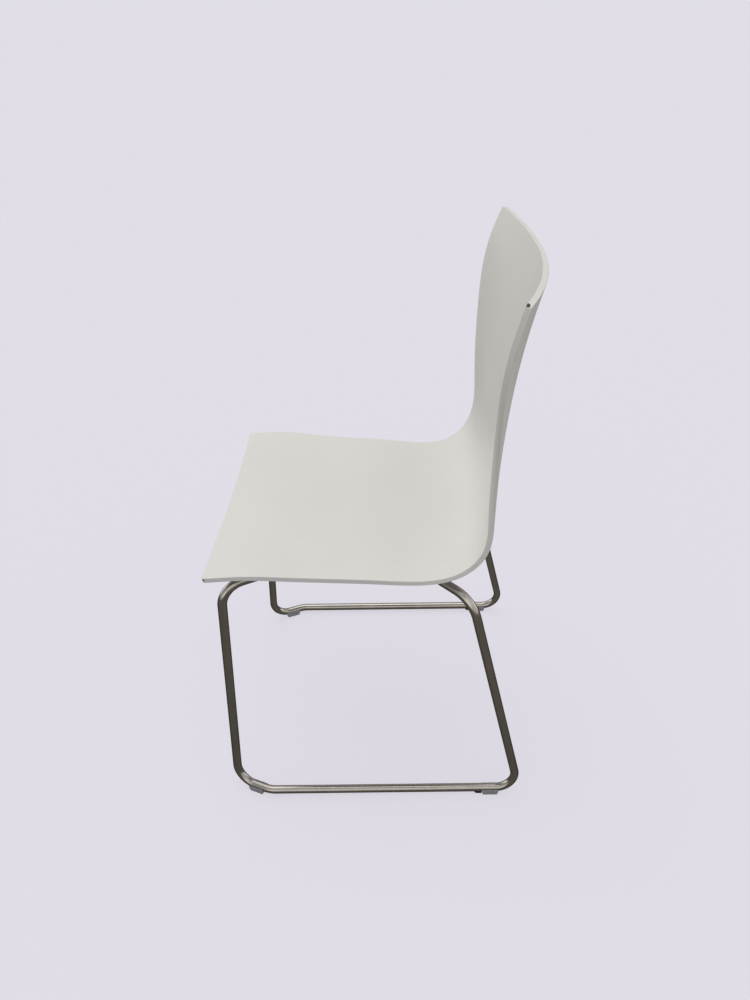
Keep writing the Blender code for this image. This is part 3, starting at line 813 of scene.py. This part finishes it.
def loop_corners(side):
    """Sharp corners of one side loop, with the bend radius at each."""
    corners = (
        ((TOP_RUN_X, TOP_RUN_REAR_Y, top_plane_height(TOP_RUN_REAR_Y)), TOP_RUN_BEND),
        (TOP_REAR, REAR_TOP_BEND),
        ((*RUNNER_REAR, RUNNER_HEIGHT), BOTTOM_BEND),
        ((*RUNNER_TOE, RUNNER_HEIGHT), TOE_BEND),
        ((*RUNNER_FRONT, RUNNER_HEIGHT), BOTTOM_BEND),
        (TOP_FRONT, FRONT_TOP_BEND),
        ((TOP_RUN_X, TOP_RUN_FRONT_Y, top_plane_height(TOP_RUN_FRONT_Y)), TOP_RUN_BEND),
    )
    return [(Vector((side * x, y, z)), radius) for (x, y, z), radius in corners]


def bend_points(before, corner, after, radius):
    """Points of the arc that rounds a corner."""
    into = (before - corner).normalized()
    out = (after - corner).normalized()
    turn = math.pi - into.angle(out)
    reach = radius * math.tan(turn / 2)
    start = corner + into * reach
    centre = corner + (into + out).normalized() * math.hypot(reach, radius)
    axis = into.cross(out).normalized()
    steps = math.ceil(turn / BEND_STEP)
    return [centre + Matrix.Rotation(-turn * index / steps, 3, axis) @ (start - centre)
            for index in range(steps + 1)]


def loop_path(side):
    """Centre line of one side loop, closed in the middle of the top run."""
    corners = loop_corners(side)
    points = [(corners[-1][0] + corners[0][0]) / 2]
    for index, (corner, radius) in enumerate(corners):
        before = corners[index - 1][0]
        after = corners[(index + 1) % len(corners)][0]
        points += bend_points(before, corner, after, radius)
    return points


def carried_frames(points, closed):
    """Two cross directions at each point of a path, carried along without twist."""
    count = len(points)
    if closed:
        ways = [(points[(i + 1) % count] - points[i - 1]).normalized() for i in range(count)]
    else:
        ways = [(points[min(i + 1, count - 1)] - points[max(i - 1, 0)]).normalized()
                for i in range(count)]
    first = ways[0].orthogonal().normalized()
    crosses = [first]
    for before, after in zip(ways, ways[1:]):
        crosses.append((before.rotation_difference(after) @ crosses[-1]).normalized())
    if closed:
        last = ways[-1].rotation_difference(ways[0]) @ crosses[-1]
        twist = math.atan2(ways[0].dot(first.cross(last)), first.dot(last))
        crosses = [Matrix.Rotation(-twist * i / count, 3, way) @ cross
                   for i, (way, cross) in enumerate(zip(ways, crosses))]
    return [(cross, way.cross(cross)) for way, cross in zip(ways, crosses)]


def sweep(name, points, radii, sides, closed):
    """Round tube along a path. Its mesh keeps tube_space: round the section, and along."""
    bm = bmesh.new()
    layer = bm.verts.layers.float_vector.new("tube_space")
    rings = []
    run = 0.0
    for index, (cross, other) in enumerate(carried_frames(points, closed)):
        run += (points[index] - points[index - 1]).length if index else 0.0
        line = []
        for number in range(sides):
            turn = 2 * math.pi * number / sides
            way = cross * math.cos(turn) + other * math.sin(turn)
            vertex = bm.verts.new(points[index] + way * radii[index])
            vertex[layer] = (math.cos(turn), math.sin(turn), run)
            line.append(vertex)
        rings.append(line)
    pairs = list(zip(rings, rings[1:]))
    if closed:
        pairs.append((rings[-1], rings[0]))
    else:
        bm.faces.new(rings[0])
        bm.faces.new(rings[-1])
    for near, far in pairs:
        for number in range(sides):
            after = (number + 1) % sides
            bm.faces.new((near[number], near[after], far[after], far[number]))
    bmesh.ops.recalc_face_normals(bm, faces=bm.faces)
    return make_object(name, bm)


def build_side_tube(word, steel):
    """One bent side loop, drilled from below for its glide pins, and its butt weld."""
    side = SIDES[word]
    path = loop_path(side)
    tube = sweep("side_tube_" + word, path, [TUBE_RADIUS] * len(path), TUBE_SIDES, True)
    drills = []
    for end in ENDS:
        drill = cylinder(f"drill_{end}_{word}", PIN_RADIUS + GAP, 0.0, PIN_LENGTH, DRILL_SIDES)
        centre = box_centre(f"glide_pin_{end}_{word}")
        drill.location = (centre.x, centre.y, PIN_HEAD_HEIGHT)
        drills.append(drill)
    carve(tube, drills)
    finish_piece(tube, steel, "satin_steel", "side_frame_" + word)
    way = (path[1] - path[0]).normalized()
    shares = [index / SEAM_STEPS for index in range(SEAM_STEPS + 1)]
    spots = [path[0] + way * SEAM_HALF_LENGTH * (2 * share - 1) for share in shares]
    radii = [TUBE_RADIUS - SEAM_SINK + (SEAM_HEIGHT + SEAM_SINK) * math.sin(math.pi * share)
             for share in shares]
    seam = sweep("seam_" + word, spots, radii, TUBE_SIDES, False)
    finish_piece(seam, steel, "satin_steel")


# ---------------- cross plates
def plate_outline():
    """Outline of a plate in x and y: a bar with round corners."""
    half_x = PLATE_LENGTH / 2 - PLATE_CORNER
    half_y = PLATE_WIDTH / 2 - PLATE_CORNER
    outline = []
    for index, (x, y) in enumerate(((half_x, half_y), (-half_x, half_y), (-half_x, -half_y),
                                    (half_x, -half_y))):
        start = index * math.pi / 2
        corner = arc(PLATE_CORNER, start, start + math.pi / 2, PLATE_CORNER_STEPS)
        outline += [(x + dx, y + dy) for dx, dy in corner]
    return outline


def build_plate(end, steel):
    """Flat bar with softened edges and two screw holes."""
    bm = extrude([(x, y, -PLATE_THICKNESS / 2) for x, y in plate_outline()],
                 (0.0, 0.0, PLATE_THICKNESS))
    bevel_sharp(bm, PLATE_EDGE)
    plate = make_object("plate_" + end, bm)
    place = axis_place(box_centre("cross_plate_" + end))
    holes = []
    for word, side in SIDES.items():
        hole = cylinder(f"plate_hole_{end}_{word}", PLATE_HOLE_RADIUS, -PLATE_THICKNESS,
                        PLATE_THICKNESS)
        hole.matrix_world = Matrix.Translation((side * SCREW_X, 0.0, 0.0))
        holes.append(hole)
    carve(plate, holes)
    plate.matrix_world = place
    finish_piece(plate, steel, "bar_steel", "cross_plate_" + end)
    build_welds(end, place, steel)


def build_welds(end, place, steel):
    """Rippled weld beads between a plate and the two tubes under it."""
    level = -PLATE_THICKNESS / 2 - WELD_DROP
    for word, side in SIDES.items():
        for spot, offset in (("inner", -WELD_OFFSET), ("outer", WELD_OFFSET)):
            points, radii = [], []
            for index in range(WELD_STEPS + 1):
                share = index / WELD_STEPS
                run = WELD_LENGTH * (share - 0.5)
                points.append(place @ Vector((side * (TOP_RUN_X + offset), run, level)))
                taper = min(1.0, WELD_TAPER * min(share, 1 - share) + WELD_TIP)
                dip = 1 - abs(math.sin(math.pi * run / WELD_RIPPLE))
                radii.append(WELD_RADIUS * taper * (1 - WELD_RIPPLE_DEPTH * dip))
            bead = sweep(f"weld_{end}_{word}_{spot}", points, radii, WELD_SIDES, False)
            finish_piece(bead, steel, "satin_steel")


# ---------------- shell fastening
def screw_profile(tip):
    """Profile of a button-head screw whose washer lies on height 0."""
    profile = [(0.0, tip), (SCREW_RADIUS - SCREW_CHAMFER, tip),
               (SCREW_RADIUS, tip - SCREW_CHAMFER), (SCREW_RADIUS, 0.0),
               (SCREW_HEAD_RADIUS - SCREW_HEAD_EDGE, 0.0), (SCREW_HEAD_RADIUS, -SCREW_HEAD_EDGE),
               (SCREW_HEAD_RADIUS, -SCREW_HEAD_SIDE)]
    for index in range(1, SCREW_DOME_STEPS + 1):
        turn = index / SCREW_DOME_STEPS * SCREW_DOME_TURN
        inward = (1 - math.cos(turn)) / (1 - math.cos(SCREW_DOME_TURN))
        down = math.sin(turn) / math.sin(SCREW_DOME_TURN)
        profile.append((SCREW_HEAD_RADIUS - SCREW_DOME_REACH * inward,
                        -SCREW_HEAD_SIDE - (SCREW_HEAD_HEIGHT - SCREW_HEAD_SIDE) * down))
    return profile + [(0.0, -SCREW_HEAD_HEIGHT)]


def build_fixing(number, zinc, black, brass):
    """Screw, washer, spacer ring and insert of one fixing."""
    tilt = plate_tilt()
    up = Vector((0.0, -math.sin(tilt), math.cos(tilt)))
    washer_spot = box_centre(f"washer_{number}")
    tip_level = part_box(f"insert_{number}")[1].z - INSERT_RADIUS * abs(math.sin(tilt))
    seat = washer_spot - up * (WASHER_THICKNESS / 2 + GAP)
    screw = lathe(f"screw_{number}", screw_profile((tip_level - seat.z) / up.z))
    socket = cylinder(f"socket_{number}", SOCKET_RADIUS, -2 * SCREW_HEAD_HEIGHT,
                      SOCKET_DEPTH - SCREW_HEAD_HEIGHT, SOCKET_SIDES)
    carve(screw, [socket])
    screw.matrix_world = axis_place(seat)
    finish_piece(screw, zinc, "zinc_steel", f"shell_screw_{number}")
    washer = ring(f"flat_washer_{number}", WASHER_RADIUS, WASHER_HOLE_RADIUS,
                  -WASHER_THICKNESS / 2, WASHER_THICKNESS / 2, WASHER_EDGE)
    washer.matrix_world = axis_place(washer_spot)
    finish_piece(washer, zinc, "zinc_steel", f"washer_{number}")
    low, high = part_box(f"spacer_{number}")
    height = (high.z - low.z - 2 * SPACER_RADIUS * abs(math.sin(tilt))) / math.cos(tilt)
    spacer = ring(f"distance_ring_{number}", SPACER_RADIUS, SPACER_HOLE_RADIUS, -height / 2,
                  height / 2, SPACER_EDGE)
    spacer.matrix_world = axis_place(box_centre(f"spacer_{number}"))
    finish_piece(spacer, black, "spacer_plastic", f"spacer_{number}")
    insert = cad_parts[f"insert_{number}"]
    insert.data.materials.clear()
    insert.data.materials.append(brass)


# ---------------- glides and buffers
def runner_place(node, end, word):
    """Matrix that stands a piece on the floor at a node, with its length along the runner."""
    spot = box_centre(node)
    spot.z = 0.0
    start, finish = (RUNNER_TOE, RUNNER_FRONT) if end == "front" else (RUNNER_REAR, RUNNER_TOE)
    heading = math.atan2(finish[1] - start[1], SIDES[word] * (finish[0] - start[0]))
    return Matrix.Translation(spot) @ Matrix.Rotation(heading + math.pi / 2, 4, "Z")


def groove_cutter(word):
    """The side loop with clearance."""
    path = loop_path(SIDES[word])
    return sweep("groove_" + word, path, [TUBE_RADIUS + GAP] * len(path), TUBE_SIDES, True)


def build_glide(end, word, plastic, zinc):
    """Grooved block under the runner, with ends that slope in to the floor, and its pin."""
    name = f"{end}_{word}"
    half = GLIDE_LENGTH / 2
    foot = half - GLIDE_SLOPE
    outline = ((-foot, 0.0), (foot, 0.0), (half, GLIDE_SLOPE_HEIGHT), (half, GLIDE_HEIGHT),
               (-half, GLIDE_HEIGHT), (-half, GLIDE_SLOPE_HEIGHT))
    glide = prism("floor_glide_" + name, outline, GLIDE_WIDTH, GLIDE_ROUND, GLIDE_FOOT_ROUND)
    place = runner_place(f"glide_pin_{name}", end, word)
    glide.matrix_world = place
    hole = PIN_RADIUS + GAP
    wide = PIN_HEAD_RADIUS + GAP
    recess = lathe("recess_" + name, (
        (0.0, RUNNER_HEIGHT), (hole, RUNNER_HEIGHT), (hole, PIN_RECESS_DEPTH),
        (wide, PIN_RECESS_DEPTH), (wide, -PIN_RECESS_DEPTH), (0.0, -PIN_RECESS_DEPTH)),
        PIN_SIDES)
    recess.location = place.translation
    carve(glide, [groove_cutter(word), recess])
    finish_piece(glide, plastic, "glide_plastic", "glide_" + name)
    top = PIN_RECESS_DEPTH - GAP
    low = top - PIN_HEAD_HEIGHT
    head = [(PIN_HEAD_RADIUS * share, low + height) for share, height in PIN_HEAD_ROUND]
    pin = lathe("pin_" + name, [
        (0.0, PIN_LENGTH), (PIN_RADIUS - PIN_CHAMFER, PIN_LENGTH),
        (PIN_RADIUS, PIN_LENGTH - PIN_CHAMFER), (PIN_RADIUS, top), (PIN_HEAD_RADIUS, top)] + head,
        PIN_SIDES)
    pin.location = place.translation
    finish_piece(pin, zinc, "zinc_steel", f"glide_pin_{name}")


def build_stop(word, rubber):
    """Dark block in front of a rear glide, with its front end sloping."""
    half = STOP_LENGTH / 2
    outline = ((-half + STOP_SLOPE, STOP_CLEARANCE), (half, STOP_CLEARANCE),
               (half, RUNNER_HEIGHT), (-half, RUNNER_HEIGHT),
               (-half, STOP_CLEARANCE + STOP_SLOPE))
    stop = prism("stop_" + word, outline, STOP_WIDTH, STOP_ROUND)
    stop.matrix_world = runner_place("glide_stop_" + word, "rear", word)
    carve(stop, [groove_cutter(word)])
    finish_piece(stop, rubber, "stop_rubber", "glide_stop_" + word)


def buffer_outline():
    """Section of a buffer: a clip open at the top, with a flat rest below."""
    inner = TUBE_RADIUS + GAP
    outer = inner + BUFFER_WALL
    half_rest = BUFFER_REST_WIDTH / 2
    rest = -outer - BUFFER_REST_DROP
    lip = math.pi / 2 + BUFFER_OPENING / 2
    root = 1.5 * math.pi - math.asin(half_rest / outer)
    left = arc(outer, lip, root, BUFFER_ARC_STEPS) + [(-half_rest, rest)]
    right = [(-x, z) for x, z in reversed(left)]
    return left + right + arc(inner, 3 * math.pi - lip, lip, 2 * BUFFER_ARC_STEPS)


def build_buffers(rubber):
    """Four clips under the sloping lengths of the top runs."""
    number = 0
    for side in SIDES.values():
        run_rear, top_rear, *_, top_front, run_front = [spot for spot, _ in loop_corners(side)]
        for start, end, share in ((top_front, run_front, BUFFER_FRONT_SHARE),
                                  (top_rear, run_rear, BUFFER_REAR_SHARE)):
            number += 1
            clip = prism(f"buffer_{number}", buffer_outline(), BUFFER_LENGTH, BUFFER_ROUND)
            along = (end - start).normalized()
            across = along.cross(Vector((0.0, 0.0, 1.0))).normalized()
            up = across.cross(along)
            turn = Matrix((along, -across, up)).transposed().to_4x4()
            clip.matrix_world = Matrix.Translation(start.lerp(end, share)) @ turn
            finish_piece(clip, rubber, "stop_rubber", f"stack_buffer_{number}")


# ---------------- surroundings
def build_floor():
    """A plain pale floor. It throws back less light on the chair than it shows,
    so that the steel keeps its depth and the underside its shade. From below it
    is clear, so that the underside can be seen."""
    bm = bmesh.new()
    bmesh.ops.create_grid(bm, x_segments=1, y_segments=1, size=FLOOR_REACH)
    floor = make_object("floor", bm)
    finish = Finish("floor", roughness=0.9, specular=0.0)
    finish.done(FLOOR_COLOUR)
    finish.shader.inputs["Emission Color"].default_value = BACKDROP_COLOUR
    finish.shader.inputs["Emission Strength"].default_value = FLOOR_GLOW
    rays = finish.add("LightPath")
    bounce = finish.mix(rays.outputs["Is Glossy Ray"], FLOOR_BOUNCE, FLOOR_REFLECTED)
    thrown = finish.fill(finish.add("Emission"), bounce)
    above = finish.choose(rays.outputs["Is Camera Ray"], thrown, finish.shader.outputs["BSDF"])
    from_below = finish.add("NewGeometry").outputs["Backfacing"]
    both = finish.choose(from_below, above, finish.add("BsdfTransparent").outputs["BSDF"])
    finish.put(finish.tree.nodes["Material Output"].inputs["Surface"], both)
    finish.material.cycles.emission_sampling = "NONE"
    floor.data.materials.append(finish.material)


def dome_brightness(sky):
    """Brightness of the light dome by direction."""
    way = sky.add("TexCoord").outputs["Generated"]
    height = sky.measure("DOT_PRODUCT", way, (0.0, 0.0, 1.0))
    rise = sky.calculate("MULTIPLY", height, ZENITH_BRIGHTNESS - HORIZON_BRIGHTNESS)
    total = sky.calculate("ADD", rise, HORIZON_BRIGHTNESS)
    for direction, inner, outer, brightness in SKY_PATCHES:
        near = sky.measure("DOT_PRODUCT", way, tuple(Vector(direction).normalized()))
        patch = sky.remap(near, math.cos(math.radians(outer)), math.cos(math.radians(inner)),
                          0.0, brightness, "SMOOTHSTEP")
        total = sky.calculate("ADD", total, patch)
    return total


def build_sky():
    """The light dome, with the floor's tone where the floor ends."""
    world = bpy.data.worlds.new("studio")
    bpy.context.scene.world = world
    world.use_nodes = True
    world.node_tree.nodes.clear()
    sky = Nodes(world.node_tree)
    light = sky.fill(sky.add("Background"), SKY_COLOUR, dome_brightness(sky))
    backdrop = sky.fill(sky.add("Background"), BACKDROP_COLOUR)
    seen = sky.add("LightPath").outputs["Is Camera Ray"]
    output = sky.add("OutputWorld")
    sky.put(output.inputs["Surface"], sky.choose(seen, light, backdrop))


def build_camera():
    """The camera, at the photograph's viewing angle."""
    data = bpy.data.cameras.new("camera")
    data.lens = CAMERA_LENS
    data.shift_x, data.shift_y = CAMERA_SHIFT
    camera = bpy.data.objects.new("camera", data)
    bpy.context.scene.collection.objects.link(camera)
    level = math.cos(CAMERA_ELEVATION)
    back = Vector((math.sin(CAMERA_AZIMUTH) * level, -math.cos(CAMERA_AZIMUTH) * level,
                   math.sin(CAMERA_ELEVATION)))
    right = Vector((0.0, 0.0, 1.0)).cross(back).normalized()
    up = back.cross(right)
    turn = Matrix((right, up, back)).transposed() @ Matrix.Rotation(CAMERA_ROLL, 3, "Z")
    camera.matrix_world = Matrix.Translation(CAMERA_PLACE) @ turn.to_4x4()
    data.clip_end = 2 * FLOOR_REACH
    bpy.context.scene.camera = camera


# ---------------- chair
def build_chair():
    """Every piece of the chair."""
    steel = drawn_steel("satin_steel", *TUBE_STEEL, "tube_space")
    bar = drawn_steel("bar_steel", *BAR_STEEL)
    zinc = zinc_plate(*ZINC)
    brass = turned_brass(*BRASS)
    black = moulded_plastic("spacer_plastic", *BLACK_PLASTIC)
    grey = moulded_plastic("glide_plastic", *GREY_PLASTIC)
    rubber = moulded_plastic("stop_rubber", *RUBBER)
    build_shell()
    for word in SIDES:
        build_side_tube(word, steel)
        for end in ENDS:
            build_glide(end, word, grey, zinc)
        build_stop(word, rubber)
    for end in ENDS:
        build_plate(end, bar)
    for number in FIXINGS:
        build_fixing(number, zinc, black, brass)
    build_buffers(rubber)


bpy.context.scene.view_settings.view_transform = "Standard"
build_camera()
build_floor()
build_sky()
build_chair()

bpy.context.view_layer.update()
